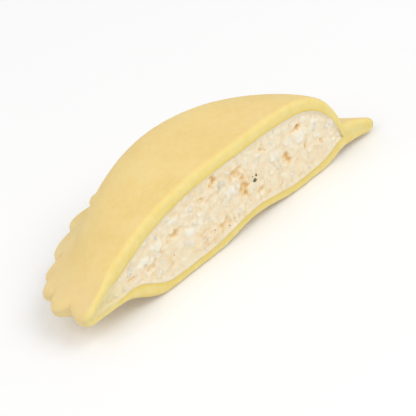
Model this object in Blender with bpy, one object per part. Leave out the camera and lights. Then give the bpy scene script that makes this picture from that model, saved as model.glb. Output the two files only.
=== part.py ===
"""Half of a large oval ravioli, cut along its length and lying on its flat underside.

Two sheets of egg dough hold a soft cheese filling and are pressed together in a scalloped
rim. The knife has taken the front half away, so the cut shows both sheets and the filling.
+X runs along the cut, +Y goes from the cut to the back of the rim, and +Z is up. The origin
is on the resting plane, under the middle of the bounding box. Sizes are in millimetres and
become metres where the vertices are made.
"""

import math

import bmesh
import bpy

MM = 0.001
GAP = 0.3  # between touching pieces

# Plan: half an oval, from the cut at y = 0 to the back of the rim.
HALF_LENGTH = 33.0
DEPTH = 26.7
# Scallops along the rim, from the right end of the cut to the left end, where the rim is
# gathered and they crowd together: (width, depth of the notches beside it, how far it stands
# out past the oval). The knife has taken a share of the first and of the last one.
SCALLOPS = (
    (6.6, 1.6, 0.2),
    (6.8, 1.6, -1.8),
    (7.0, 1.6, -1.3),
    (6.7, 1.6, -0.6),
    (7.1, 1.7, 0.0),
    (6.7, 1.6, 0.1),
    (7.0, 1.7, -0.1),
    (6.8, 1.6, 0.1),
    (6.9, 1.7, 0.0),
    (8.8, 1.9, -0.7),
    (10.0, 2.0, -1.0),
    (3.5, 1.0, 0.0),
    (4.4, 1.2, 1.0),
    (5.2, 1.4, 1.2),
    (5.6, 1.2, 0.0),
)
FIRST_SCALLOP_TAKEN = 0.5
LAST_SCALLOP_TAKEN = 0.2
SCALLOP_ROUNDNESS = 1.7  # 1 is a zigzag, 2 is a row of round lobes
SAMPLES_PER_SCALLOP = 4

# Three sizes in a row are at the right end of the cut, at the back and at the left end.
# The rim droops from the foot of the dome to its edge.
RIM_WIDTH = (8.2, 6.1, 5.9)  # from the foot of the dome to the tips of the scallops
RIM_TOP = (5.4, 4.3, 8.7)  # height of the skin at the foot of the dome
RIM_UNDERSIDE = (1.2, 1.3, 3.7)  # height of the underside at the same place
EDGE_HEIGHT = (1.1, 2.4, 4.6)  # height of the middle of the edge
EDGE_THICKNESS = 1.9
DROOP = 1.2  # 1 is a straight fall to the edge, more leaves it to the end

# Dome and cavity.
DOME_HEIGHT = 15.3
DOME_FULLNESS = (5.0, 7.9, 2.7)  # a higher number keeps the dome flat for longer
DOME_SHOULDER = (0.74, 0.62, 0.78)  # a lower number makes the dome steeper at its foot
TOP_SHEET = 2.2
BOTTOM_SHEET = 1.6
SIDE_WALL = (0.7, 1.6, 0.7)
CAVITY_FLOOR_FULLNESS = 8.0

# Underside: flat where it rests, lifted to the rim, with a shallow arch at the cut.
LIFT_START = (0.78, 0.78, 0.58)  # shares of the distance from the centre to the dome's foot
LIFT_END = (1.0, 1.0, 0.93)
ARCH_HEIGHT = 1.2
ARCH_MIDDLE = 3.0
ARCH_HALF_WIDTH = 10.0
ARCH_REACH = 7.0  # how far behind the cut it fades out

# Rings of the plan grid: shares of the cavity's radius, then shares across the rim.
CAVITY_RINGS = (0.3, 0.56, 0.76, 0.89, 0.96)
FILLING_EDGE = 0.985
RIM_RINGS = (0.0, 0.4, 0.8, 1.0)


def around(sizes, direction):
    """A size that changes round the plan, read at a direction: 0 is right, half a turn is left."""
    right, back, left = sizes
    across = math.cos(direction)
    end = right if across > 0 else left
    return end * across * across + back * (1 - across * across)


def oval_radius(direction):
    return 1 / math.hypot(math.cos(direction) / HALF_LENGTH, math.sin(direction) / DEPTH)


def foot_radius(direction):
    return oval_radius(direction) - around(RIM_WIDTH, direction)


def cavity_radius(direction):
    return foot_radius(direction) - around(SIDE_WALL, direction)


def rim_radius(direction, index, across):
    """The rim's radius at a share across one scallop: its tip is in the middle."""
    _, depth, reach = SCALLOPS[index]
    neighbour = max(0, index - 1) if across < 0.5 else min(len(SCALLOPS) - 1, index + 1)
    notch_reach = (reach + SCALLOPS[neighbour][2]) / 2
    from_tip = abs(2 * across - 1) ** SCALLOP_ROUNDNESS
    return oval_radius(direction) + reach + (notch_reach - reach - depth) * from_tip


def directions_by_rim_share(steps=2000):
    """A function that turns a share of the rim's length into a direction from the plan's centre."""
    angles = [math.pi * i / steps for i in range(steps + 1)]
    points = [(oval_radius(a) * math.cos(a), oval_radius(a) * math.sin(a)) for a in angles]
    lengths = [0.0]
    for start, end in zip(points, points[1:]):
        lengths.append(lengths[-1] + math.dist(start, end))

    def direction_at(share):
        wanted = share * lengths[-1]
        low = max(i for i in range(steps) if lengths[i] <= wanted)
        part = (wanted - lengths[low]) / (lengths[low + 1] - lengths[low])
        return angles[low] + part * (angles[low + 1] - angles[low])

    return direction_at


def rim_spokes():
    """(direction, rim radius) of every spoke of the plan grid, from the right end to the left."""
    direction_at = directions_by_rim_share()
    start = -SCALLOPS[0][0] * FIRST_SCALLOP_TAKEN
    total = sum(width for width, _, _ in SCALLOPS) + start - SCALLOPS[-1][0] * LAST_SCALLOP_TAKEN
    spokes = []
    for index, (width, _, _) in enumerate(SCALLOPS):
        for sample in range(SAMPLES_PER_SCALLOP):
            across = sample / SAMPLES_PER_SCALLOP
            share = (start + across * width) / total
            if -1e-9 < share < 1 - 1e-9:
                direction = direction_at(max(0.0, share))
                spokes.append((direction, rim_radius(direction, index, across)))
        start += width
    last = len(SCALLOPS) - 1
    spokes.append((math.pi, rim_radius(math.pi, last, 1 - LAST_SCALLOP_TAKEN)))
    return spokes


def smooth_step(value, start, end):
    share = min(1.0, max(0.0, (value - start) / (end - start)))
    return share * share * (3 - 2 * share)


def along_rim(root, edge, direction, radius, rim):
    """A height that is `root` up to the foot of the dome and falls to `edge` at the rim."""
    foot = foot_radius(direction)
    share = min(1.0, max(0.0, (radius - foot) / (rim - foot)))
    return root + (edge - root) * share**DROOP


def seam_height(direction, radius, rim):
    """Where the two sheets meet: halfway through the rim."""
    root = (around(RIM_TOP, direction) + around(RIM_UNDERSIDE, direction)) / 2
    return along_rim(root, around(EDGE_HEIGHT, direction), direction, radius, rim)


def dome_profile(direction, share):
    """1 over the centre of the plan, 0 at the dome's foot and beyond it."""
    fullness = around(DOME_FULLNESS, direction)
    return (1 - min(1.0, share) ** fullness) ** around(DOME_SHOULDER, direction)


def outer_top(direction, radius, rim):
    """Height of the skin: the dome, then the rim."""
    root = around(RIM_TOP, direction)
    edge = around(EDGE_HEIGHT, direction) + EDGE_THICKNESS / 2
    base = along_rim(root, edge, direction, radius, rim)
    return base + (DOME_HEIGHT - root) * dome_profile(direction, radius / foot_radius(direction))


def cavity_top(direction, radius, rim, inset=0.0):
    """Height of the top sheet's inside, or of a surface lying `inset` within it."""
    seam = seam_height(direction, radius, rim)
    share = radius / (cavity_radius(direction) - inset)
    return seam + (DOME_HEIGHT - TOP_SHEET - inset - seam) * dome_profile(direction, share)


def arch_at_cut(direction, radius):
    """How far the underside is raised by the shallow arch in the middle of the cut."""
    sideways = (radius * math.cos(direction) - ARCH_MIDDLE) / ARCH_HALF_WIDTH
    behind = radius * math.sin(direction) / ARCH_REACH
    return ARCH_HEIGHT * (1 - smooth_step(math.hypot(sideways, behind), 0.0, 1.0))


def outer_bottom(direction, radius, rim):
    """Height of the underside."""
    root = around(RIM_UNDERSIDE, direction)
    edge = around(EDGE_HEIGHT, direction) - EDGE_THICKNESS / 2
    lift_start, lift_end = around(LIFT_START, direction), around(LIFT_END, direction)
    lift = root * (smooth_step(radius / foot_radius(direction), lift_start, lift_end) - 1)
    return along_rim(root, edge, direction, radius, rim) + lift + arch_at_cut(direction, radius)


def cavity_floor(direction, radius, rim, inset=0.0):
    """Height of the bottom sheet's inside, or of a surface lying `inset` within it."""
    floor = outer_bottom(direction, radius, rim) + BOTTOM_SHEET + inset
    share = min(1.0, radius / (cavity_radius(direction) - inset))
    return floor + (seam_height(direction, radius, rim) - floor) * share**CAVITY_FLOOR_FULLNESS


def top_sheet_heights(direction, radius, rim):
    under = seam_height(direction, radius, rim) + GAP / 2
    return max(cavity_top(direction, radius, rim), under), outer_top(direction, radius, rim)


def bottom_sheet_heights(direction, radius, rim):
    over = seam_height(direction, radius, rim) - GAP / 2
    return outer_bottom(direction, radius, rim), min(cavity_floor(direction, radius, rim), over)


def filling_heights(direction, radius, rim):
    low = cavity_floor(direction, radius, rim, GAP)
    return low, cavity_top(direction, radius, rim, GAP)


def sheet_radii(direction, rim):
    """Radii of the grid's rings along one spoke of a dough sheet."""
    cavity, foot = cavity_radius(direction), foot_radius(direction)
    inside = [share * cavity for share in CAVITY_RINGS]
    return inside + [cavity] + [foot + share * (rim - foot) for share in RIM_RINGS]


def filling_radii(direction, rim):
    cavity = cavity_radius(direction) - GAP
    return [share * cavity for share in (*CAVITY_RINGS, FILLING_EDGE)]


def layer_of_vertices(mesh_builder, radii_of, height_of):
    """A grid of vertices over the plan: one list per spoke, each starting at the shared centre."""
    centre = mesh_builder.verts.new((0.0, 0.0, height_of(0.0, 0.0, HALF_LENGTH) * MM))
    layer = []
    for direction, rim in rim_spokes():
        spoke = [centre]
        for radius in radii_of(direction, rim):
            x = radius * math.cos(direction)
            y = max(0.0, radius * math.sin(direction))
            z = height_of(direction, radius, rim)
            spoke.append(mesh_builder.verts.new((x * MM, y * MM, z * MM)))
        layer.append(spoke)
    return layer


def solid_between(name, radii_of, heights_of, material):
    """One closed solid between a lower and an upper height over the half-oval plan."""
    mesh_builder = bmesh.new()
    lower = layer_of_vertices(mesh_builder, radii_of, lambda *spot: heights_of(*spot)[0])
    upper = layer_of_vertices(mesh_builder, radii_of, lambda *spot: heights_of(*spot)[1])
    add_face = mesh_builder.faces.new
    for layer, facing_up in ((lower, False), (upper, True)):
        for here, beyond in zip(layer, layer[1:]):
            corners = [(here[0], here[1], beyond[1])]
            for ring in range(1, len(here) - 1):
                corners.append((here[ring], here[ring + 1], beyond[ring + 1], beyond[ring]))
            for face in corners:
                add_face(face if facing_up else face[::-1])
    rim_wall = [(low[-1], high[-1]) for low, high in zip(lower, upper)]
    right_cut = list(zip(lower[0], upper[0]))
    left_cut = list(zip(lower[-1], upper[-1]))[::-1]
    for wall in (rim_wall, right_cut, left_cut):
        for (low, high), (next_low, next_high) in zip(wall, wall[1:]):
            add_face((low, next_low, next_high, high))
    bmesh.ops.triangulate(mesh_builder, faces=mesh_builder.faces[:])
    mesh = bpy.data.meshes.new(name)
    mesh_builder.to_mesh(mesh)
    mesh_builder.free()
    mesh.shade_smooth()
    mesh.set_sharp_from_angle(angle=math.radians(40))
    mesh.materials.append(material)
    solid = bpy.data.objects.new(name, mesh)
    bpy.context.scene.collection.objects.link(solid)
    return solid


def centre_over_origin(solids):
    """Moves the solids together so that the origin is under the middle of their bounding box."""
    corners = [vertex.co for solid in solids for vertex in solid.data.vertices]
    middle_x = (min(c.x for c in corners) + max(c.x for c in corners)) / 2
    middle_y = (min(c.y for c in corners) + max(c.y for c in corners)) / 2
    for solid in solids:
        solid.location = (-middle_x, -middle_y, 0.0)


def food_material(name, colour, roughness):
    material = bpy.data.materials.new(name)
    material.use_nodes = True
    shader = material.node_tree.nodes["Principled BSDF"]
    shader.inputs["Base Color"].default_value = (*colour, 1.0)
    shader.inputs["Roughness"].default_value = roughness
    shader.inputs["Metallic"].default_value = 0.0
    return material


def main():
    for item in list(bpy.data.objects):
        bpy.data.objects.remove(item, do_unlink=True)
    dough = food_material("egg_dough", (0.89, 0.68, 0.28), 0.55)
    cheese = food_material("cheese_filling", (0.87, 0.72, 0.47), 0.7)
    centre_over_origin(
        [
            solid_between("bottom_sheet", sheet_radii, bottom_sheet_heights, dough),
            solid_between("filling", filling_radii, filling_heights, cheese),
            solid_between("top_sheet", sheet_radii, top_sheet_heights, dough),
        ]
    )


main()
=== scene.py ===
"""Half of a large oval ravioli, cut along its length, on a plain white floor.

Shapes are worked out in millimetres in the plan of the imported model: the cut lies at y = 0,
the middle of the oval is at x = 0, +Y goes from the cut to the back of the rim and +Z is up.
`to_row_frame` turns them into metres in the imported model's own frame.
"""

import math

import bmesh
import bpy
import numpy as np
from mathutils import Matrix, Vector, noise


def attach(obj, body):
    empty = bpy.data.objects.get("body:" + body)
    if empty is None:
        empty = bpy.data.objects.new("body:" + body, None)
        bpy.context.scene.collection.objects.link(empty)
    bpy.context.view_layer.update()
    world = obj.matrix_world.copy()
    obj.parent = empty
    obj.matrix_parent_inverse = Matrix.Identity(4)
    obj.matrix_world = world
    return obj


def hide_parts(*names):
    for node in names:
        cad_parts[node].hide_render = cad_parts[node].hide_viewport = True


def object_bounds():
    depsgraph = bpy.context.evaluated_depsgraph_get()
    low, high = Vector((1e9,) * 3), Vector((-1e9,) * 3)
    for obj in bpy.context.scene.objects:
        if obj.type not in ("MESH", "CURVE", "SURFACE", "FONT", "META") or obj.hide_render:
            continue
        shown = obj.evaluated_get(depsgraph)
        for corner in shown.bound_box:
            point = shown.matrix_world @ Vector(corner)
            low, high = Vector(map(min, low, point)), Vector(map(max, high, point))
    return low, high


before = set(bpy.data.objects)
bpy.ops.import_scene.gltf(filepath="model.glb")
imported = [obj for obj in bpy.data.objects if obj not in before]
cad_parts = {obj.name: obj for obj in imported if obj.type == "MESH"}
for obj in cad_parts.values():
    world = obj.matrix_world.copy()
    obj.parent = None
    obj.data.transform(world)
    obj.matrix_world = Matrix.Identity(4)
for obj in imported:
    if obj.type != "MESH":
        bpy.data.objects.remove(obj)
CAD_LOW, CAD_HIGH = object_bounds()

MM = 0.001

# ---------------------------------------------------------------- sizes shared with the CAD
HALF_LENGTH = 33.0
DEPTH = 26.7
# Right end of the cut to the left end: width, depth of the notches, reach past the oval.
SCALLOPS = (
    (6.6, 1.6, 0.2),
    (6.8, 1.6, -1.8),
    (7.0, 1.6, -1.3),
    (6.7, 1.6, -0.6),
    (7.1, 1.7, 0.0),
    (6.7, 1.6, 0.1),
    (7.0, 1.7, -0.1),
    (6.8, 1.6, 0.1),
    (6.9, 1.7, 0.0),
    (8.8, 1.9, -0.7),
    (10.0, 2.0, -1.0),
    (3.5, 1.0, 0.0),
    (4.4, 1.2, 1.0),
    (5.2, 1.4, 1.2),
    (5.6, 1.2, 0.0),
)
FIRST_SCALLOP_TAKEN = 0.5
LAST_SCALLOP_TAKEN = 0.2
SCALLOP_ROUNDNESS = 1.7

# Three sizes in a row are at the right end of the cut, at the back and at the left end.
RIM_WIDTH = (8.2, 6.1, 5.9)
RIM_TOP = (5.4, 4.3, 8.7)
RIM_UNDERSIDE = (1.2, 1.3, 3.7)
EDGE_HEIGHT = (1.1, 2.4, 4.6)
EDGE_THICKNESS = 1.9
DROOP = 1.2
DOME_HEIGHT = 15.3
DOME_FULLNESS = (5.0, 7.9, 2.7)
DOME_SHOULDER = (0.74, 0.62, 0.78)
TOP_SHEET = 2.2
BOTTOM_SHEET = 1.6
SIDE_WALL = (0.7, 1.6, 0.7)
CAVITY_FLOOR_FULLNESS = 8.0
LIFT_START = (0.78, 0.78, 0.58)
LIFT_END = (1.0, 1.0, 0.93)
ARCH_HEIGHT = 1.2
ARCH_MIDDLE = 3.0
ARCH_HALF_WIDTH = 10.0
ARCH_REACH = 7.0

# ---------------------------------------------------------------- finer sizes of the real thing
FOOT_FILLET = (1.6, 2.0, 3.4)  # how softly the dome runs into the rim
FILLET_SLOPE = 0.8
LIP_RADIUS = 0.95  # rounded outer edge of the cut
BOTTOM_LIP_RADIUS = 0.8 * LIP_RADIUS
LIP_SHARE = 0.45  # the most of a sheet's thickness that its outer lip takes
INNER_LIP_RADIUS = 0.2  # where the cut dough meets the filling
INNER_LIP_SHARE = 0.3
SEAM_OPENING = (0.05, 0.6)  # the inner lip grows as the sheets part from none to this far
THINNEST_SHEET = 0.05
STEEPEST_CUT = 1.6  # slope of the cut's profile past which a lip widens no more
RIM_EDGE_SHARE = (0.98, 0.6, 0.8)  # of a sheet's thickness that the rim's edge is rounded over
RIGHT_CORNER_RADIUS = 2.0  # the ends of the cut are rounded in plan
LEFT_CORNER_RADIUS = 0.9
CUT_WAVINESS = 0.10
CUT_WAVE_LENGTH = 2.4
CUT_WAVE_REACH = 1.1  # how far behind the cut its waviness dies out
SKIN_WAVES = ((9.0, 0.16), (3.2, 0.05))  # (length of a wave, how deep it is)
SKIN_WAVE_CONTRAST = 0.7
FLUTE_DEPTH = 0.07  # shallow valleys that run in from the notches
FLUTE_GROWTH = 1.5  # how late a valley deepens on its way out to the notch

FACE_SPACING = 0.10  # of the vertices on the filling's cut face
FACE_RECESS = 0.42  # how far the filling lies behind the knife's cut
FACE_EDGE_RECESS = 0.07
FACE_EDGE_REACH = 0.6  # the recess grows over this distance from the dough
SHALLOWEST_FACE = 0.03
BROAD_RELIEF = 0.10
PIT_RELIEF = 0.8
CURD_RELIEF = 0.24
GRAIN_RELIEF = 0.07
CRUMB_RELIEF = 0.05
PALE_RELIEF = 0.16
FILLING_OVERLAP = 0.06  # the filling runs this far into the dough, so that no slot shows
# The bottom sheet sags where it lifts off the floor at the left end of the cut.
BULGE_DEPTH = 0.75
BULGE_MIDDLE = -21.2
BULGE_HALF_WIDTH = 4.0
BULGE_REACH = 8.0
# At the left end the filling thins out between the sheets, almost to the tip of the rim.
WEDGE_HALF_HEIGHT = 1.5
WEDGE_REACH = 3.0  # behind the cut
WEDGE_START = 0.6  # share of the distance to the dome's foot where it begins to open
WEDGE_TONE_START = -23.0  # from here to the left the filling turns as yellow as the dough
WEDGE_TONE_FULL = -28.5
WEDGE_END = 0.8  # share of the rim's width where it ends


def around(sizes, direction):
    """A size that changes round the plan, read at a direction: 0 is right, half a turn is left."""
    right, back, left = sizes
    across = np.cos(direction)
    end = np.where(across > 0, right, left)
    return end * across**2 + back * (1 - across**2)


def oval_radius(direction):
    return 1 / np.hypot(np.cos(direction) / HALF_LENGTH, np.sin(direction) / DEPTH)


def foot_radius(direction):
    return oval_radius(direction) - around(RIM_WIDTH, direction)


def cavity_radius(direction):
    return foot_radius(direction) - around(SIDE_WALL, direction)


def smooth_step(value, start, end):
    share = np.clip((value - start) / (end - start), 0.0, 1.0)
    return share * share * (3 - 2 * share)


def smooth_max(first, second, width):
    """The larger of two heights, with the corner between them rounded over `width`."""
    mix = np.clip(0.5 + 0.5 * (first - second) / width, 0.0, 1.0)
    return second + (first - second) * mix + width * mix * (1 - mix)


def round_over(distance, radius):
    """How far a rounded edge falls away at a distance inside the edge."""
    inside = np.clip(radius - distance, 0.0, radius)
    return radius - np.sqrt(np.maximum(radius**2 - inside**2, 0.0))


def rim_outline(samples):
    """Directions, radii, radii without notches and distances from a tip, right end to left end."""
    angles = np.linspace(0.0, math.pi, 4001)
    steps = np.hypot(
        np.diff(oval_radius(angles) * np.cos(angles)), np.diff(oval_radius(angles) * np.sin(angles))
    )
    lengths = np.concatenate(([0.0], np.cumsum(steps)))
    widths = np.array([width for width, _, _ in SCALLOPS])
    taken_first = widths[0] * FIRST_SCALLOP_TAKEN
    total = widths.sum() - taken_first - widths[-1] * LAST_SCALLOP_TAKEN
    starts = np.cumsum(widths) - widths - taken_first
    directions, radii, smooth_radii, from_tips = [], [], [], []
    for index, (width, depth, reach) in enumerate(SCALLOPS):
        across = np.linspace(0.0, 1.0, samples, endpoint=False)
        share = (starts[index] + across * width) / total
        kept = (share > -1e-9) & (share < 1 - 1e-9)
        across, share = across[kept], np.maximum(share[kept], 0.0)
        direction = np.interp(share * lengths[-1], lengths, angles)
        before = SCALLOPS[max(0, index - 1)][2]
        after = SCALLOPS[min(len(SCALLOPS) - 1, index + 1)][2]
        notch_reach = (reach + np.where(across < 0.5, before, after)) / 2
        from_tip = np.abs(2 * across - 1) ** SCALLOP_ROUNDNESS
        directions.append(direction)
        smooth = oval_radius(direction) + reach + (notch_reach - reach) * from_tip
        smooth_radii.append(smooth)
        radii.append(smooth - depth * from_tip)
        from_tips.append(from_tip)
    _, depth, reach = SCALLOPS[-1]
    from_tip = abs(1 - 2 * LAST_SCALLOP_TAKEN) ** SCALLOP_ROUNDNESS
    directions.append([math.pi])
    smooth_radii.append([oval_radius(math.pi) + reach])
    radii.append([oval_radius(math.pi) + reach - depth * from_tip])
    from_tips.append([from_tip])
    directions, radii = np.concatenate(directions), np.concatenate(radii)
    behind = radii * np.sin(directions)
    corner = np.where(directions < math.pi / 2, RIGHT_CORNER_RADIUS, LEFT_CORNER_RADIUS)
    radii = radii - round_over(behind, corner)
    return directions, radii, np.concatenate(smooth_radii), np.concatenate(from_tips)


RIM_DIRECTIONS, RIM_RADII, RIM_SMOOTH_RADII, RIM_FROM_TIP = rim_outline(samples=60)


def rim_radius(direction):
    return np.interp(direction, RIM_DIRECTIONS, RIM_RADII)


def rim_distance(x, y):
    """Distance from plan points to the scalloped outline."""
    rim_x = RIM_RADII * np.cos(RIM_DIRECTIONS)
    rim_y = RIM_RADII * np.sin(RIM_DIRECTIONS)
    nearest = np.full(x.shape, np.inf)
    for edge_x, edge_y in zip(rim_x, rim_y):
        nearest = np.minimum(nearest, (x - edge_x) ** 2 + (y - edge_y) ** 2)
    return np.sqrt(nearest)


def rim_share(direction, radius):
    foot = foot_radius(direction)
    rim = np.interp(direction, RIM_DIRECTIONS, RIM_SMOOTH_RADII)
    return np.clip((radius - foot) / (rim - foot), 0.0, 1.0)


def along_rim(root, edge, direction, radius):
    """A height that is `root` up to the foot of the dome and falls to `edge` at the rim."""
    return root + (edge - root) * rim_share(direction, radius) ** DROOP


def seam_height(direction, radius):
    root = (around(RIM_TOP, direction) + around(RIM_UNDERSIDE, direction)) / 2
    return along_rim(root, around(EDGE_HEIGHT, direction), direction, radius)


def wedge(direction, radius):
    """Half the height of the thin tongue of filling inside the left end of the rim."""
    along = np.clip(1 - rim_share(direction, radius) / WEDGE_END, 0.0, 1.0)
    behind = 1 - smooth_step(radius * np.sin(direction), 0.5, WEDGE_REACH)
    outward = smooth_step(radius / foot_radius(direction), WEDGE_START, 1.0)
    on_left = direction > math.pi / 2
    return np.where(on_left, WEDGE_HALF_HEIGHT * along * behind * outward, 0.0)


def dome_profile(direction, share):
    fullness = around(DOME_FULLNESS, direction)
    return (1 - np.clip(share, 0.0, 1.0) ** fullness) ** around(DOME_SHOULDER, direction)


def outer_top(direction, radius):
    """Height of the skin, with the foot of the dome filleted into the rim."""
    root = around(RIM_TOP, direction)
    edge = around(EDGE_HEIGHT, direction) + EDGE_THICKNESS / 2
    base = along_rim(root, edge, direction, radius)
    foot = foot_radius(direction)
    dome = (DOME_HEIGHT - root) * dome_profile(direction, radius / foot)
    beyond = FILLET_SLOPE * np.maximum(radius - foot, 0.0)
    return base + smooth_max(dome - beyond, np.zeros_like(dome), around(FOOT_FILLET, direction))


def cavity_top(direction, radius):
    seam = seam_height(direction, radius)
    share = radius / cavity_radius(direction)
    dome = (DOME_HEIGHT - TOP_SHEET - seam) * dome_profile(direction, share)
    return seam + np.hypot(dome, wedge(direction, radius))


def outer_bottom(direction, radius):
    """Height of the underside, with the bulge where it lifts at the left end of the cut."""
    sideways = (radius * np.cos(direction) - BULGE_MIDDLE) / BULGE_HALF_WIDTH
    behind = 1 - smooth_step(radius * np.sin(direction), 0.0, BULGE_REACH)
    bulge = BULGE_DEPTH * np.exp(-(sideways**2)) * behind
    return np.maximum(resting_bottom(direction, radius) - bulge, 0.0)


def resting_bottom(direction, radius):
    root = around(RIM_UNDERSIDE, direction)
    edge = around(EDGE_HEIGHT, direction) - EDGE_THICKNESS / 2
    lift_start, lift_end = around(LIFT_START, direction), around(LIFT_END, direction)
    lift = root * (smooth_step(radius / foot_radius(direction), lift_start, lift_end) - 1)
    sideways = (radius * np.cos(direction) - ARCH_MIDDLE) / ARCH_HALF_WIDTH
    behind = radius * np.sin(direction) / ARCH_REACH
    arch = ARCH_HEIGHT * (1 - smooth_step(np.hypot(sideways, behind), 0.0, 1.0))
    return along_rim(root, edge, direction, radius) + lift + arch


def cavity_floor(direction, radius):
    floor = resting_bottom(direction, radius) + BOTTOM_SHEET
    share = np.clip(radius / cavity_radius(direction), 0.0, 1.0)
    seam = seam_height(direction, radius)
    depth = (seam - floor) * (1 - share**CAVITY_FLOOR_FULLNESS)
    return seam - np.hypot(depth, wedge(direction, radius))


# ---------------------------------------------------------------- helpers for meshes
def fractal(x, y, z, length, octaves=3, seed=0.0):
    """Soft noise from about -1 to 1 at points given in millimetres."""
    offset = Vector((seed * 17.3, seed * 5.1, seed * 9.7))
    flat = np.stack([np.ravel(x), np.ravel(y), np.ravel(z)], axis=1) / length
    values = [
        noise.fractal(Vector(point) + offset, 1.0, 2.0, octaves, noise_basis="PERLIN_ORIGINAL")
        for point in flat
    ]
    return np.reshape(values, np.shape(x))


def to_row_frame(points):
    """Millimetres in the shape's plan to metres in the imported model's frame."""
    right_tip = HALF_LENGTH + SCALLOPS[0][2]
    moved = np.array(points, float) * MM
    moved[:, 0] += CAD_HIGH.x - right_tip * MM
    moved[:, 1] += CAD_LOW.y
    low, high = np.array(CAD_LOW), np.array(CAD_HIGH)
    return np.clip(moved, low, high)


def add_piece(name, points, faces, material, node, values=None, sharp_angle=50):
    """One mesh object in the row frame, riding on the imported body."""
    mesh = bpy.data.meshes.new(name)
    mesh.from_pydata(to_row_frame(points).tolist(), [], faces)
    mesh.validate()
    mesh.shade_smooth()
    mesh.set_sharp_from_angle(angle=math.radians(sharp_angle))
    for attribute_name, numbers in (values or {}).items():
        attribute = mesh.attributes.new(attribute_name, "FLOAT", "POINT")
        attribute.data.foreach_set("value", np.asarray(numbers, np.float32))
    mesh.materials.append(material)
    piece = bpy.data.objects.new(name, mesh)
    bpy.context.scene.collection.objects.link(piece)
    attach(piece, "root")
    if node:
        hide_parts(node)
    return piece


# ---------------------------------------------------------------- the two sheets of dough
POLE = (0.0, 9.0)  # the plan grid's spokes start here, behind the cut
CUT_SPOKES = 300
RIM_SAMPLES = 22  # spokes per scallop
WALL_ROWS = 10
# Distances behind the cut, in millimetres, of the rings next to it; the other rings are even.
EDGE_RINGS = (0.0, 0.03, 0.1, 0.2, 0.33, 0.48, 0.66, 0.86, 1.1)
INNER_RINGS = 34


def plan_grid():
    """x and y of every (spoke, ring); the rings run from the pole to the edge."""
    directions, radii, _, _ = rim_outline(RIM_SAMPLES)
    rim_x, rim_y = radii * np.cos(directions), radii * np.sin(directions)
    rim_y[-1] = 0.0
    cut_x = np.linspace(rim_x[-1], rim_x[0], CUT_SPOKES + 1)[1:-1]
    edge_x = np.concatenate((rim_x, cut_x))
    edge_y = np.concatenate((rim_y, np.zeros_like(cut_x)))
    from_edge = np.array(EDGE_RINGS) / POLE[1]
    inner = np.linspace(1.0, from_edge[-1], INNER_RINGS, endpoint=False)[1:]
    shares = 1 - np.concatenate((inner, from_edge[::-1]))
    x = POLE[0] + (edge_x - POLE[0])[:, None] * shares
    y = POLE[1] + (edge_y - POLE[1])[:, None] * shares
    return x, np.maximum(y, 0.0)


PLAN_X, PLAN_Y = plan_grid()
PLAN_DIRECTION = np.arctan2(PLAN_Y, PLAN_X)
PLAN_RADIUS = np.hypot(PLAN_X, PLAN_Y)
PLAN_FROM_RIM = rim_distance(PLAN_X, PLAN_Y)
POLE_DIRECTION = np.array([math.pi / 2])
POLE_RADIUS = np.array([POLE[1]])


def slope_stretch(heights):
    """How much longer a distance along the cut's profile is than its run in x."""
    slope = np.zeros_like(heights)
    run = np.gradient(PLAN_X, axis=0)
    rise = np.gradient(heights, axis=0)
    steep = np.abs(run) > 1e-3
    slope[steep] = rise[steep] / run[steep]
    return np.sqrt(1 + np.clip(slope, -STEEPEST_CUT, STEEPEST_CUT) ** 2)


def sheet_mesh(lower, upper, lower_pole, upper_pole):
    """Points and faces of a closed sheet; the wall gets WALL_ROWS rows between the surfaces."""
    spokes, rings = PLAN_X.shape
    points, faces = [], []
    for heights, pole_height, facing_up in ((lower, lower_pole, False), (upper, upper_pole, True)):
        first = len(points)
        points.append((*POLE, pole_height))
        points += np.stack((PLAN_X, PLAN_Y, heights), axis=2).reshape(-1, 3).tolist()

        def at(spoke, ring, first=first):
            return first + 1 + (spoke % spokes) * rings + ring

        for spoke in range(spokes):
            corners = [(first, at(spoke, 0), at(spoke + 1, 0))]
            for ring in range(rings - 1):
                corners.append(
                    (at(spoke, ring), at(spoke, ring + 1), at(spoke + 1, ring + 1), at(spoke + 1, ring))
                )
            faces += corners if facing_up else [face[::-1] for face in corners]
    per_layer = spokes * rings + 1
    rows = [[1 + spoke * rings + rings - 1 for spoke in range(spokes)]]
    edge_x, edge_y = PLAN_X[:, -1], PLAN_Y[:, -1]
    for row in range(1, WALL_ROWS):
        share = row / WALL_ROWS
        heights = lower[:, -1] + (upper[:, -1] - lower[:, -1]) * share
        rows.append(list(range(len(points), len(points) + spokes)))
        points += np.stack((edge_x, edge_y, heights), axis=1).tolist()
    rows.append([index + per_layer for index in rows[0]])
    for below, above in zip(rows, rows[1:]):
        for spoke in range(spokes):
            beyond = (spoke + 1) % spokes
            faces.append((below[spoke], below[beyond], above[beyond], above[spoke]))
    return np.array(points), faces


def wave_the_cut(points):
    """The knife leaves the cut face slightly uneven; it only moves into the food."""
    cut = points[:, 1] < CUT_WAVE_REACH
    x, y, z = points[cut].T
    waves = np.clip(0.5 + fractal(x, np.zeros_like(x), z, CUT_WAVE_LENGTH, seed=3), 0.0, 1.0)
    points[cut, 1] += CUT_WAVINESS * waves * (1 - smooth_step(y, 0.0, CUT_WAVE_REACH))
    return points


def skin_waves(x, y, seed):
    """How far the skin is below its smooth shape."""
    depth = np.zeros_like(x)
    for number, (length, size) in enumerate(SKIN_WAVES):
        waves = fractal(x, y, np.zeros_like(x), length, octaves=2, seed=seed + number)
        depth += size * np.clip(0.5 + SKIN_WAVE_CONTRAST * waves, 0.0, 1.0)
    return depth


def flutes(direction, radius):
    from_tip = np.interp(direction, RIM_DIRECTIONS, RIM_FROM_TIP)
    return FLUTE_DEPTH * from_tip * rim_share(direction, radius) ** FLUTE_GROWTH


def rim_thickness(thickness):
    """A sheet's thickness, no more than it has at the edge of the rim."""
    return np.minimum(thickness, EDGE_THICKNESS / 2)


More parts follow.
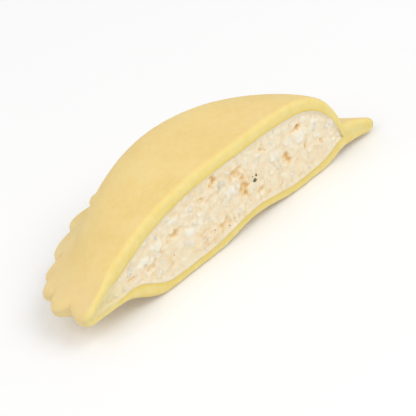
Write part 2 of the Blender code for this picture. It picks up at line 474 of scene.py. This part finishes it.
def top_sheet_surfaces():
    upper = outer_top(PLAN_DIRECTION, PLAN_RADIUS)
    seam = seam_height(PLAN_DIRECTION, PLAN_RADIUS)
    lower = np.maximum(cavity_top(PLAN_DIRECTION, PLAN_RADIUS), seam)
    thickness = upper - lower
    stretch = slope_stretch(upper)
    lip = np.minimum(LIP_RADIUS, LIP_SHARE * thickness)
    fall = np.maximum(
        round_over(PLAN_Y, lip) * stretch,
        round_over(PLAN_FROM_RIM, around(RIM_EDGE_SHARE, PLAN_DIRECTION) * rim_thickness(thickness)),
    )
    open_inside = smooth_step(lower - seam, *SEAM_OPENING)
    rise = round_over(PLAN_Y, INNER_LIP_RADIUS) * stretch * open_inside
    upper = upper - skin_waves(PLAN_X, PLAN_Y, seed=1) - flutes(PLAN_DIRECTION, PLAN_RADIUS)
    upper = np.maximum(upper - fall, lower + THINNEST_SHEET)
    return lower + np.minimum(rise, INNER_LIP_SHARE * (upper - lower)), upper


def bottom_sheet_surfaces():
    lower = outer_bottom(PLAN_DIRECTION, PLAN_RADIUS)
    seam = seam_height(PLAN_DIRECTION, PLAN_RADIUS)
    upper = np.minimum(cavity_floor(PLAN_DIRECTION, PLAN_RADIUS), seam)
    thickness = upper - lower
    stretch = slope_stretch(lower)
    lip = np.minimum(BOTTOM_LIP_RADIUS, LIP_SHARE * thickness)
    rise = np.maximum(
        round_over(PLAN_Y, lip) * stretch,
        round_over(PLAN_FROM_RIM, around(RIM_EDGE_SHARE, PLAN_DIRECTION) * rim_thickness(thickness)),
    )
    open_inside = smooth_step(seam - upper, *SEAM_OPENING)
    fall = round_over(PLAN_Y, INNER_LIP_RADIUS) * stretch * open_inside
    lower = np.minimum(lower + rise, upper - THINNEST_SHEET)
    return np.maximum(lower, 0.0), upper - np.minimum(fall, INNER_LIP_SHARE * (upper - lower))


def dough_values(points, inner_height):
    """How much each point belongs to the cut face, its inner edge, the grainy seam and the rim."""
    x, y, z = points.T
    direction, radius = np.arctan2(np.maximum(y, 0.0), x), np.hypot(x, y)
    on_cut = smooth_step(LIP_RADIUS * 0.9 - y, 0.0, LIP_RADIUS * 0.8)
    from_inside = np.abs(z - inner_height(direction, radius))
    # Mask for the deeper yellow along the cut's inner edge: partly the thin dough's own translucent
    # tone, partly painted bounce light.
    translucent_edge_and_bounce_light = on_cut * (1 - smooth_step(from_inside, 0.15, 0.9))
    past_cavity = smooth_step(radius - cavity_radius(direction), -0.5, 0.8)
    from_seam = np.abs(z - seam_height(direction, radius))
    from_tip = smooth_step(rim_radius(direction) - radius, 0.5, 4.0)
    grainy = on_cut * past_cavity * from_tip * (1 - smooth_step(from_seam, 0.7, 1.5)) * (x < 0)
    return {
        "on_cut": on_cut,
        "translucent_edge_and_bounce_light": translucent_edge_and_bounce_light * (1 - past_cavity),
        "grainy": grainy,
        "on_rim": smooth_step(rim_share(direction, radius), 0.0, 0.6),
        "leftward": smooth_step(-x, 8.0, 30.0),
    }


def add_sheets(material):
    lower, upper = top_sheet_surfaces()
    pole_top = outer_top(POLE_DIRECTION, POLE_RADIUS)[0] - SKIN_WAVES[0][1]
    pole_inside = cavity_top(POLE_DIRECTION, POLE_RADIUS)[0]
    points, faces = sheet_mesh(lower, upper, pole_inside, pole_top)
    points = wave_the_cut(points)
    values = dough_values(points, cavity_top)
    add_piece("top_sheet_skin", points, faces, material, "top_sheet", values)

    lower, upper = bottom_sheet_surfaces()
    pole_bottom = outer_bottom(POLE_DIRECTION, POLE_RADIUS)[0]
    pole_inside = cavity_floor(POLE_DIRECTION, POLE_RADIUS)[0]
    points, faces = sheet_mesh(lower, upper, pole_bottom, pole_inside)
    points = wave_the_cut(points)
    values = dough_values(points, cavity_floor)
    add_piece("bottom_sheet_skin", points, faces, material, "bottom_sheet", values)


# ---------------------------------------------------------------- the cheese filling
# Hollows in the cut face: x and z of the middle, half the width, half the height and depth.
PITS = (
    (14.5, 10.3, 1.5, 0.6, 0.7),
    (15.9, 6.6, 0.7, 0.6, 0.4),
    (19.6, 5.3, 0.6, 0.6, 0.45),
    (6.3, 10.9, 0.8, 0.5, 0.45),
    (11.3, 6.5, 0.9, 1.2, 0.55),
    (-4.5, 11.5, 1.1, 0.9, 0.5),
    (-7.6, 9.9, 0.8, 0.6, 0.35),
    (0.6, 10.3, 1.5, 0.8, 0.5),
    (1.5, 7.4, 0.9, 2.2, 0.5),
    (-3.6, 4.0, 1.4, 0.6, 0.35),
    (-13.4, 8.0, 1.4, 0.6, 0.45),
    (-19.3, 5.6, 0.9, 0.7, 0.4),
    (-23.0, 6.3, 0.9, 0.4, 0.3),
    (4.8, 4.6, 0.8, 0.5, 0.35),
)
# Large pale curds: x, z, half the width, half the height.
PALE_CURDS = (
    (14.9, 8.4, 1.3, 0.8),
    (12.0, 9.3, 1.0, 0.8),
    (18.0, 8.9, 1.2, 0.9),
    (8.8, 8.4, 1.2, 0.9),
    (-17.8, 8.2, 1.2, 0.9),
    (-20.7, 7.3, 1.3, 0.8),
    (-14.0, 10.2, 1.1, 0.7),
    (-11.0, 6.6, 1.2, 0.8),
    (-8.3, 7.4, 0.9, 1.0),
    (-1.6, 8.0, 1.1, 1.0),
)
END_MARGIN = 0.02  # the face stops this far short of the cavity's ends
# Small curds and grains: spacing, jitter as a share of it, radii, and heights from 0 to 1.
CURDS = (1.25, 0.55, (0.45, 1.05), (0.25, 1.0))
GRAINS = (0.52, 0.5, (0.18, 0.42), (0.2, 1.0))
FACE_SEED = 7
# How light the face is at its mean level, and what each kind of relief adds or takes.
MEAN_LIGHTNESS = 0.40
CURD_LIGHTNESS = 0.30
GRAIN_LIGHTNESS = 0.10
# The pits' darkening is partly the filling's own warmer tone, partly painted shade in the hollows.
PIT_TONE_AND_PAINTED_SHADE = 0.75
BROAD_LIGHTNESS = 0.14
CRUMB_LIGHTNESS = 0.12
PALE_LIGHTNESS = 0.35


def cavity_outline():
    directions = np.linspace(0.0, math.pi, 2001)
    radii = cavity_radius(directions)
    foot = foot_radius(math.pi)
    wedge_tip = foot + WEDGE_END * (RIM_SMOOTH_RADII[-1] - foot)
    x, y = (radii * np.cos(directions))[::-1], (radii * np.sin(directions))[::-1]
    return np.concatenate(([-wedge_tip], x)), np.concatenate(([0.0], y))


CAVITY_X, CAVITY_Y = cavity_outline()


def cavity_heights(x, y):
    direction, radius = np.arctan2(y, x), np.hypot(x, y)
    low = cavity_floor(direction, radius) - FILLING_OVERLAP
    return low, cavity_top(direction, radius) + FILLING_OVERLAP


def face_grid():
    """x, z and the share of the height of every (column, row) of the filling's cut face."""
    left, right = CAVITY_X[0] + END_MARGIN, CAVITY_X[-1] - END_MARGIN
    columns = int((right - left) / FACE_SPACING)
    x = np.linspace(left, right, columns)
    low, high = cavity_heights(x, np.zeros_like(x))
    rows = int(np.max(high - low) / FACE_SPACING)
    share = np.linspace(0.0, 1.0, rows)
    z = low[:, None] + (high - low)[:, None] * share
    return np.repeat(x[:, None], rows, axis=1), z, np.repeat(share[None, :], columns, axis=0)


def domes(x, z, centres, radii, heights):
    """The highest of many small rounded lumps at every point of the face grid."""
    relief = np.zeros_like(x)
    columns = FACE_X[:, 0]
    reach = 1.6
    for (centre_x, centre_z), radius, height in zip(centres, radii, heights):
        first, last = np.searchsorted(columns, (centre_x - reach * radius, centre_x + reach * radius))
        near_x, near_z = x[first:last], z[first:last]
        squared = ((near_x - centre_x) ** 2 + (near_z - centre_z) ** 2) / radius**2
        lump = height * np.maximum(1 - squared, 0.0)
        relief[first:last] = np.maximum(relief[first:last], lump)
    return soften(relief)


def soften(relief, passes=3):
    """Rounds the creases between the lumps of a relief on the face grid."""
    for _ in range(passes):
        padded = np.pad(relief, 1, mode="edge")
        beside = padded[:-2, 1:-1] + padded[2:, 1:-1] + padded[1:-1, :-2] + padded[1:-1, 2:]
        relief = 0.5 * relief + 0.125 * beside
    return relief


def scattered(generator, spacing, jitter):
    """Points spread unevenly over the filling's cut face."""
    points = []
    for x in np.arange(CAVITY_X[0], CAVITY_X[-1], spacing):
        for z in np.arange(0.0, DOME_HEIGHT, spacing * 0.87):
            shift_x, shift_z = generator.uniform(-jitter, jitter, 2) * spacing
            points.append((x + shift_x, z + shift_z))
    return np.array(points)


FACE_X, FACE_Z, FACE_SHARE = face_grid()
WARPED_X = FACE_X + 0.5 * fractal(FACE_X, np.zeros_like(FACE_X), FACE_Z, 1.3, 2, seed=11)
WARPED_Z = FACE_Z + 0.5 * fractal(FACE_X, np.zeros_like(FACE_X), FACE_Z, 1.3, 2, seed=12)


def pit_relief():
    """How deep the hollows are at every point of the face."""
    ragged = 0.45 * fractal(FACE_X, np.zeros_like(FACE_X), FACE_Z, 0.8, 2, seed=31)
    hollow = np.zeros_like(FACE_X)
    for centre_x, centre_z, half_width, half_height, depth in PITS:
        away = np.hypot((WARPED_X - centre_x) / half_width, (WARPED_Z - centre_z) / half_height)
        hollow = np.maximum(hollow, depth * (1 - smooth_step(away + ragged, 0.3, 1.3)))
    return hollow


def pale_relief():
    """1 over the middle of each large pale curd and 0 outside."""
    ragged = 0.35 * fractal(FACE_X, np.zeros_like(FACE_X), FACE_Z, 0.9, 2, seed=32)
    pale = np.zeros_like(FACE_X)
    for centre_x, centre_z, half_width, half_height in PALE_CURDS:
        away = np.hypot((WARPED_X - centre_x) / half_width, (WARPED_Z - centre_z) / half_height)
        pale = np.maximum(pale, 1 - smooth_step(away + ragged, 0.5, 1.2))
    return pale


def face_relief():
    """How far behind the knife's cut each point lies, and how light its colour is (0 to 1)."""
    generator = np.random.default_rng(FACE_SEED)
    spacing, jitter, sizes, heights = CURDS
    curds = scattered(generator, spacing, jitter)
    curd_sizes = generator.uniform(*sizes, len(curds))
    curd_heights = generator.uniform(*heights, len(curds))
    curd = domes(WARPED_X, WARPED_Z, curds, curd_sizes, curd_heights)
    spacing, jitter, sizes, heights = GRAINS
    grains = scattered(generator, spacing, jitter)
    grain_sizes = generator.uniform(*sizes, len(grains))
    grain_heights = generator.uniform(*heights, len(grains))
    grain = domes(FACE_X, FACE_Z, grains, grain_sizes, grain_heights)
    pits = pit_relief()
    pale = pale_relief()
    broad = fractal(FACE_X, np.zeros_like(FACE_X), FACE_Z, 4.0, 2, seed=21)
    crumb = fractal(FACE_X, np.zeros_like(FACE_X), FACE_Z, 0.55, 3, seed=22)
    behind = FACE_RECESS + BROAD_RELIEF * broad - CURD_RELIEF * curd - GRAIN_RELIEF * grain
    behind = behind + PIT_RELIEF * pits - CRUMB_RELIEF * crumb - PALE_RELIEF * pale
    lightness = MEAN_LIGHTNESS + CURD_LIGHTNESS * curd + GRAIN_LIGHTNESS * grain
    lightness = lightness - PIT_TONE_AND_PAINTED_SHADE * pits + BROAD_LIGHTNESS * broad
    lightness = lightness + CRUMB_LIGHTNESS * crumb + PALE_LIGHTNESS * pale
    # The face runs forward to the dough along its outline, so that no slot shows.
    to_edge = np.minimum(FACE_SHARE, 1 - FACE_SHARE) * (FACE_Z[:, -1] - FACE_Z[:, 0])[:, None]
    near_edge = 1 - smooth_step(to_edge, 0.0, FACE_EDGE_REACH)
    behind = behind + (FACE_EDGE_RECESS - behind) * near_edge
    return np.maximum(behind, SHALLOWEST_FACE), np.clip(lightness, 0.0, 1.0)


FACE_BEHIND, FACE_LIGHTNESS = face_relief()
BACK_SHARES = np.linspace(0.0, 1.0, 15)[1:] ** 0.8  # from the cut face to the cavity's back


def filling_mesh():
    """A closed tube of slices: up the cut face, back under the top sheet, forward over the floor."""
    behind = FACE_BEHIND
    columns = FACE_X.shape[0]
    x = FACE_X[:, 0]
    back = np.maximum(np.interp(x, CAVITY_X, CAVITY_Y) - 0.02, 0.6)
    front_top, front_low = behind[:, -1], behind[:, 0]
    top_y = front_top[:, None] + (back - front_top)[:, None] * BACK_SHARES
    low_y = front_low[:, None] + (back - front_low)[:, None] * BACK_SHARES[:-1][::-1]
    wide_x = np.repeat(x[:, None], len(BACK_SHARES), axis=1)
    _, top_z = cavity_heights(wide_x, top_y)
    low_z, _ = cavity_heights(wide_x[:, :-1], low_y)
    loop_y = np.concatenate((behind, top_y, low_y), axis=1)
    loop_z = np.concatenate((FACE_Z, top_z, low_z), axis=1)
    around_loop = loop_y.shape[1]
    loop_x = np.repeat(x[:, None], around_loop, axis=1)
    points = np.stack((loop_x, loop_y, loop_z), axis=2).reshape(-1, 3)
    tone = np.full(loop_y.shape, 0.4)
    tone[:, : FACE_X.shape[1]] = FACE_LIGHTNESS
    in_wedge = smooth_step(-loop_x, -WEDGE_TONE_START, -WEDGE_TONE_FULL)
    faces = []
    for column in range(columns - 1):
        here, beyond = column * around_loop, (column + 1) * around_loop
        for step in range(around_loop):
            after = (step + 1) % around_loop
            faces.append((here + step, beyond + step, beyond + after, here + after))
    faces.append(tuple(range(around_loop)))
    faces.append(tuple(range((columns - 1) * around_loop, columns * around_loop))[::-1])
    return points, faces, {"lightness": tone.ravel(), "in_wedge": in_wedge.ravel()}


def add_filling(material):
    points, faces, values = filling_mesh()
    add_piece(
        "filling_mass", points, faces, material, "filling", values, sharp_angle=180
    )


# ---------------------------------------------------------------- loose bits on the cut face
def blob(subdivisions):
    """Points and faces of a round ball of radius 1."""
    builder = bmesh.new()
    bmesh.ops.create_icosphere(builder, subdivisions=subdivisions, radius=1.0)
    points = np.array([vertex.co[:] for vertex in builder.verts])
    faces = [tuple(vertex.index for vertex in face.verts) for face in builder.faces]
    builder.free()
    return points, faces


def face_depth(x, z):
    """How far behind the cut the filling's face lies at a point, and the room around the point."""
    column = int(np.clip(np.searchsorted(FACE_X[:, 0], x), 0, FACE_X.shape[0] - 1))
    row = int(np.clip(np.searchsorted(FACE_Z[column], z), 0, FACE_X.shape[1] - 1))
    room = min(z - FACE_Z[column, 0], FACE_Z[column, -1] - z)
    return FACE_BEHIND[column, row], room


def lumps(spots, subdivisions, roughness, seed):
    """Joined uneven lumps. A spot is (x, z, sizes across, deep and high, sunk share)."""
    ball, ball_faces = blob(subdivisions)
    all_points, all_faces, tones = [], [], []
    for number, (x, z, sizes, sunk) in enumerate(spots):
        y, _ = face_depth(x, z)
        place = seed * 31.7 + number * 3.1
        uneven = fractal(ball[:, 0] + place, ball[:, 1], ball[:, 2], 1.1, 2, seed=seed)
        shape = ball * (1 + roughness * uneven)[:, None] * np.array(sizes)
        spin = Matrix.Rotation(place, 3, "Y")
        shape = shape @ np.array(spin).T
        centre_y = max(y + sunk * sizes[1], sizes[1] * (1 + 0.5 * roughness) + 0.03)
        first = sum(len(part) for part in all_points)
        all_points.append(shape + np.array((x, centre_y, z)))
        all_faces += [tuple(first + index for index in face) for face in ball_faces]
        tones.append(0.72 + 0.25 * uneven)
    return np.concatenate(all_points), all_faces, np.clip(np.concatenate(tones), 0, 1)


CURD_COUNT = 70
CURD_SEED = 19
CURD_RADII = (0.22, 0.55)
CURD_FLATNESS = 0.6  # depth against size
CURD_SUNK = 0.55
CLEAR_OF_PITS = 1.6  # in pit sizes


def curd_spots():
    generator = np.random.default_rng(CURD_SEED)
    spots = []
    while len(spots) < CURD_COUNT:
        x, z = generator.uniform(CAVITY_X[0], CAVITY_X[-1]), generator.uniform(0.0, DOME_HEIGHT)
        size = generator.uniform(*CURD_RADII) * generator.uniform(0.7, 1.25)
        _, room = face_depth(x, z)
        near_pit = any(
            math.hypot((x - pit_x) / half_width, (z - pit_z) / half_height) < CLEAR_OF_PITS
            for pit_x, pit_z, half_width, half_height, _ in PITS
        )
        if room > size + 0.3 and not near_pit:
            stretch = generator.uniform(0.75, 1.3)
            sizes = (size * stretch, size * CURD_FLATNESS, size / stretch)
            spots.append((x, z, sizes, CURD_SUNK))
    return spots


# Herb bits and specks, each as lumps() takes it.
HERBS = (
    (3.7, 7.1, (0.30, 0.10, 0.26), -0.5),
    (4.3, 7.6, (0.24, 0.09, 0.18), -0.5),
    (4.2, 6.9, (0.10, 0.06, 0.12), -0.5),
    (3.4, 7.8, (0.09, 0.06, 0.08), -0.5),
)
SPECKS = (
    (-3.4, 4.6, (0.12, 0.08, 0.11), -0.3),
    (-3.0, 2.9, (0.13, 0.08, 0.11), -0.3),
    (-6.2, 4.1, (0.09, 0.07, 0.09), -0.3),
    (-1.8, 3.6, (0.08, 0.06, 0.08), -0.3),
    (-14.8, 5.0, (0.08, 0.06, 0.08), -0.3),
    (13.5, 5.2, (0.08, 0.06, 0.09), -0.3),
)


def add_bits(curd_material, herb_material, speck_material):
    points, faces, tones = lumps(curd_spots(), 3, 0.35, seed=4)
    add_piece(
        "curd_lumps", points, faces, curd_material, None, {"lightness": tones}, 180
    )
    points, faces, _ = lumps(HERBS, 3, 0.7, seed=6)
    add_piece("herb_flecks", points, faces, herb_material, None, None, 60)
    points, faces, _ = lumps(SPECKS, 2, 0.5, seed=8)
    add_piece("brown_specks", points, faces, speck_material, None, None, 60)


# ---------------------------------------------------------------- materials
def linear(red, green, blue):
    """A colour given as 0 to 255 display values, as linear values."""
    values = []
    for value in (red, green, blue):
        share = value / 255
        values.append(share / 12.92 if share <= 0.04045 else ((share + 0.055) / 1.055) ** 2.4)
    return (*values, 1.0)


class Nodes:
    """Builds a node material: each method adds one node and returns its output."""

    def __init__(self, name):
        self.material = bpy.data.materials.new(name)
        self.material.use_nodes = True
        self.tree = self.material.node_tree
        self.shader = self.tree.nodes["Principled BSDF"]
        self.place = self.tree.nodes.new("ShaderNodeTexCoord").outputs["Object"]

    def join(self, source, target):
        self.tree.links.new(source, target)

    def noise(self, millimetres, detail=3.0, roughness=0.55):
        node = self.tree.nodes.new("ShaderNodeTexNoise")
        node.inputs["Scale"].default_value = 1 / (millimetres * MM)
        node.inputs["Detail"].default_value = detail
        node.inputs["Roughness"].default_value = roughness
        self.join(self.place, node.inputs["Vector"])
        return node.outputs["Fac"]

    def cells(self, millimetres):
        node = self.tree.nodes.new("ShaderNodeTexVoronoi")
        node.feature = "SMOOTH_F1"
        node.inputs["Scale"].default_value = 1 / (millimetres * MM)
        self.join(self.place, node.inputs["Vector"])
        return node.outputs["Distance"]

    def value(self, attribute):
        node = self.tree.nodes.new("ShaderNodeAttribute")
        node.attribute_name = attribute
        return node.outputs["Fac"]

    def ramp(self, source, *stops):
        node = self.tree.nodes.new("ShaderNodeValToRGB")
        elements = node.color_ramp.elements
        while len(elements) < len(stops):
            elements.new(0.5)
        for element, (position, colour) in zip(elements, stops):
            element.position = position
            element.color = colour
        self.join(source, node.inputs["Fac"])
        return node.outputs["Color"]

    def spread(self, source, low, high, to_low=0.0, to_high=1.0):
        node = self.tree.nodes.new("ShaderNodeMapRange")
        node.inputs["From Min"].default_value = low
        node.inputs["From Max"].default_value = high
        node.inputs["To Min"].default_value = to_low
        node.inputs["To Max"].default_value = to_high
        self.join(source, node.inputs["Value"])
        return node.outputs["Result"]

    def math(self, operation, first, second):
        node = self.tree.nodes.new("ShaderNodeMath")
        node.operation = operation
        for socket, source in zip(node.inputs, (first, second)):
            if isinstance(source, (int, float)):
                socket.default_value = source
            else:
                self.join(source, socket)
        return node.outputs["Value"]

    def mix(self, share, first, second, blend="MIX"):
        node = self.tree.nodes.new("ShaderNodeMix")
        node.data_type = "RGBA"
        node.blend_type = blend
        sockets = (node.inputs[0], node.inputs[6], node.inputs[7])
        for socket, source in zip(sockets, (share, first, second)):
            if isinstance(source, (int, float, tuple)):
                socket.default_value = source
            else:
                self.join(source, socket)
        return node.outputs[2]

    def bump(self, height, millimetres, strength=1.0, under=None):
        node = self.tree.nodes.new("ShaderNodeBump")
        node.inputs["Strength"].default_value = strength
        node.inputs["Distance"].default_value = millimetres * MM
        self.join(height, node.inputs["Height"])
        if under is not None:
            self.join(under, node.inputs["Normal"])
        return node.outputs["Normal"]

    def finish(self, colour, roughness, normal, **settings):
        self.join(colour, self.shader.inputs["Base Color"])
        self.join(roughness, self.shader.inputs["Roughness"])
        self.join(normal, self.shader.inputs["Normal"])
        for name, number in settings.items():
            self.shader.inputs[name.replace("_", " ")].default_value = number
        return self.material


def dough_material():
    """Matte egg dough: warm yellow skin, purer yellow where the knife went through, and paler there
    from a painted highlight on the cut and the crest of its lip.
    """
    nodes = Nodes("egg_dough_skin")
    skin = nodes.ramp(
        nodes.noise(6.0, 4.0, 0.6),
        (0.30, linear(240, 209, 132)),
        (0.52, linear(243, 214, 141)),
        (0.75, linear(246, 220, 152)),
    )
    flour = nodes.spread(nodes.noise(1.1, 5.0, 0.65), 0.42, 0.75, 0.0, 0.35)
    skin = nodes.mix(flour, skin, linear(249, 228, 170))
    fine = nodes.spread(nodes.noise(0.35, 3.0, 0.6), 0.30, 0.70, 0.0, 0.18)
    skin = nodes.mix(fine, skin, linear(236, 201, 120))
    left_rim = nodes.math("MULTIPLY", nodes.value("leftward"), nodes.value("on_rim"))
    skin = nodes.mix(nodes.math("MULTIPLY", left_rim, 0.45), skin, linear(238, 212, 158))
    # Colour of the cut: the dough's own purer yellow, painted paler as a highlight on the cut face and
    # the crest of its lip.
    cut = nodes.ramp(
        nodes.noise(1.6, 4.0, 0.6),
        (0.30, linear(243, 219, 130)),
        (0.70, linear(248, 229, 156)),
    )
    colour = nodes.mix(nodes.spread(nodes.value("on_cut"), 0.0, 1.0, 0.0, 0.9), skin, cut)
    # Deeper yellow along the cut's inner edge, next to the filling: partly the thin dough's own
    # translucent tone, partly painted bounce light.
    inside = nodes.spread(nodes.value("translucent_edge_and_bounce_light"), 0.0, 1.0, 0.0, 0.75)
    colour = nodes.mix(inside, colour, linear(244, 214, 108))
    grain = nodes.ramp(
        nodes.noise(0.55, 4.0, 0.7),
        (0.35, linear(232, 202, 138)),
        (0.60, linear(244, 224, 176)),
    )
    colour = nodes.mix(nodes.value("grainy"), colour, grain)
    roughness = nodes.spread(nodes.noise(1.4, 3.0), 0.3, 0.7, 0.48, 0.62)
    normal = nodes.bump(nodes.noise(1.8, 3.0), 0.10, 0.5)
    normal = nodes.bump(nodes.noise(0.32, 4.0, 0.65), 0.035, 0.6, under=normal)
    return nodes.finish(
        colour, roughness, normal,
        Subsurface_Weight=0.3, Subsurface_Scale=0.001, Subsurface_Radius=(1.0, 0.8, 0.4), IOR=1.42,
    )


def cheese_material(name):
    """Crumbly white cheese: pale curds, warmer and darker in the hollows between them, partly from the
    cheese's own tone and partly from painted shade.
    """
    nodes = Nodes(name)
    mottle = nodes.spread(nodes.noise(0.8, 5.0, 0.65), 0.25, 0.75, -0.14, 0.14)
    lightness = nodes.math("ADD", nodes.value("lightness"), mottle)
    # The lowest stops colour the pits: their own warmer tone with painted shade.
    colour = nodes.ramp(
        lightness,
        (0.02, linear(230, 186, 116)),
        (0.20, linear(240, 208, 154)),
        (0.40, linear(251, 229, 194)),
        (0.68, linear(253, 238, 211)),
        (0.95, linear(254, 247, 232)),
    )
    yellow = nodes.spread(nodes.noise(3.0, 3.0), 0.45, 0.75, 0.0, 0.30)
    colour = nodes.mix(yellow, colour, linear(248, 227, 176))
    wedge_share = nodes.math("MULTIPLY", nodes.value("in_wedge"), 0.65)
    colour = nodes.mix(wedge_share, colour, linear(248, 223, 150))
    roughness = nodes.spread(nodes.noise(0.7, 3.0), 0.3, 0.7, 0.42, 0.66)
    normal = nodes.bump(nodes.cells(0.35), 0.05, 0.5)
    normal = nodes.bump(nodes.noise(0.16, 4.0, 0.7), 0.03, 0.6, under=normal)
    return nodes.finish(
        colour, roughness, normal,
        Subsurface_Weight=0.4, Subsurface_Scale=0.0008, Subsurface_Radius=(1.0, 0.9, 0.7), IOR=1.40,
    )


def fleck_material(name, dark, light, size):
    nodes = Nodes(name)
    colour = nodes.ramp(nodes.noise(size, 4.0, 0.7), (0.35, dark), (0.65, light))
    roughness = nodes.spread(nodes.noise(size, 2.0), 0.3, 0.7, 0.45, 0.75)
    normal = nodes.bump(nodes.noise(size / 2, 3.0), 0.04, 0.6)
    return nodes.finish(colour, roughness, normal)


# ---------------------------------------------------------------- floor, light and camera
FLOOR_HALF = 1.6
FLOOR_DROP = 0.05 * MM  # below the food, so that the two don't flicker
FLOOR_COLOUR = 0.86
FLOOR_LIFT = 0.12  # added to what the camera sees of the floor, so that it reads as white
CAMERA_AZIMUTH = -40.1
CAMERA_ELEVATION = 30.3
CAMERA_ROLL = 12.3
CAMERA_DISTANCE = 0.237
CAMERA_LENS = 133.0
AIM_RIGHT = 5.0 * MM  # how far the camera looks past the middle of the CAD's box
AIM_UP = -6.2 * MM
WORLD_STRENGTH = 0.61
# Degrees, metres and watts.
KEY_LAMP = {"azimuth": 28.0, "elevation": 50.0, "distance": 0.9, "size": 0.6, "power": 2.6}
FILL_LAMP = {"azimuth": -90.0, "elevation": 50.0, "distance": 1.0, "size": 0.8, "power": 2.8}


def add_floor():
    mesh = bpy.data.meshes.new("floor")
    half = FLOOR_HALF
    corners = [(-half, -half, 0), (half, -half, 0), (half, half, 0), (-half, half, 0)]
    mesh.from_pydata(corners, [], [(0, 1, 2, 3)])
    floor = bpy.data.objects.new("floor", mesh)
    floor.location.z = -FLOOR_DROP
    bpy.context.scene.collection.objects.link(floor)
    material = bpy.data.materials.new("white_floor")
    material.use_nodes = True
    tree = material.node_tree
    shader = tree.nodes["Principled BSDF"]
    shader.inputs["Base Color"].default_value = (FLOOR_COLOUR,) * 3 + (1.0,)
    shader.inputs["Roughness"].default_value = 0.9
    shader.inputs["Specular IOR Level"].default_value = 0.1
    rays = tree.nodes.new("ShaderNodeLightPath")
    seen = tree.nodes.new("ShaderNodeMath")
    seen.operation = "MAXIMUM"
    tree.links.new(rays.outputs["Is Camera Ray"], seen.inputs[0])
    tree.links.new(rays.outputs["Is Glossy Ray"], seen.inputs[1])
    strength = tree.nodes.new("ShaderNodeMath")
    strength.operation = "MULTIPLY"
    strength.inputs[1].default_value = FLOOR_LIFT
    tree.links.new(seen.outputs[0], strength.inputs[0])
    shader.inputs["Emission Color"].default_value = (1, 1, 1, 1)
    tree.links.new(strength.outputs[0], shader.inputs["Emission Strength"])
    mesh.materials.append(material)


def add_world():
    world = bpy.data.worlds.new("studio")
    bpy.context.scene.world = world
    world.use_nodes = True
    tree = world.node_tree
    background = tree.nodes["Background"]
    background.inputs["Color"].default_value = (1, 1, 1, 1)
    background.inputs["Strength"].default_value = WORLD_STRENGTH
    bright = tree.nodes.new("ShaderNodeBackground")
    bright.inputs["Color"].default_value = (1, 1, 1, 1)
    bright.inputs["Strength"].default_value = 1.0
    rays = tree.nodes.new("ShaderNodeLightPath")
    mix = tree.nodes.new("ShaderNodeMixShader")
    tree.links.new(rays.outputs["Is Camera Ray"], mix.inputs[0])
    tree.links.new(background.outputs[0], mix.inputs[1])
    tree.links.new(bright.outputs[0], mix.inputs[2])
    tree.links.new(mix.outputs[0], tree.nodes["World Output"].inputs["Surface"])


def add_lamp(name, azimuth, elevation, distance, size, power):
    """A soft square lamp that looks at the food."""
    lamp = bpy.data.objects.new(name, bpy.data.lights.new(name, "AREA"))
    lamp.data.size = size
    lamp.data.energy = power
    back = direction_from(azimuth, elevation)
    lamp.location = back * distance
    lamp.rotation_euler = back.to_track_quat("Z", "Y").to_euler()
    bpy.context.scene.collection.objects.link(lamp)


def direction_from(azimuth, elevation):
    across, up = math.radians(azimuth), math.radians(elevation)
    return Vector((math.sin(across) * math.cos(up), -math.cos(across) * math.cos(up), math.sin(up)))


def add_camera():
    middle = (CAD_LOW + CAD_HIGH) / 2
    camera = bpy.data.objects.new("camera", bpy.data.cameras.new("camera"))
    back = direction_from(CAMERA_AZIMUTH, CAMERA_ELEVATION)
    roll = Matrix.Rotation(math.radians(-CAMERA_ROLL), 3, "Z")
    facing = back.to_track_quat("Z", "Y").to_matrix() @ roll
    camera.location = middle + back * CAMERA_DISTANCE
    aim = middle + facing @ Vector((AIM_RIGHT, AIM_UP, 0.0))
    look = (camera.location - aim).to_track_quat("Z", "Y").to_matrix() @ roll
    camera.rotation_euler = look.to_euler()
    camera.data.lens = CAMERA_LENS
    camera.data.sensor_width = 36.0
    camera.data.clip_start = 0.01
    bpy.context.scene.collection.objects.link(camera)
    bpy.context.scene.camera = camera


bpy.context.scene.view_settings.view_transform = "Standard"
add_sheets(dough_material())
add_filling(cheese_material("cheese_filling_face"))
add_bits(
    cheese_material("cheese_curds"),
    fleck_material("dried_herb", linear(58, 62, 40), linear(120, 122, 78), 0.3),
    fleck_material("toasted_speck", linear(150, 104, 58), linear(200, 158, 98), 0.2),
)
add_floor()
add_world()
add_lamp("key_lamp", **KEY_LAMP)
add_lamp("fill_lamp", **FILL_LAMP)
add_camera()
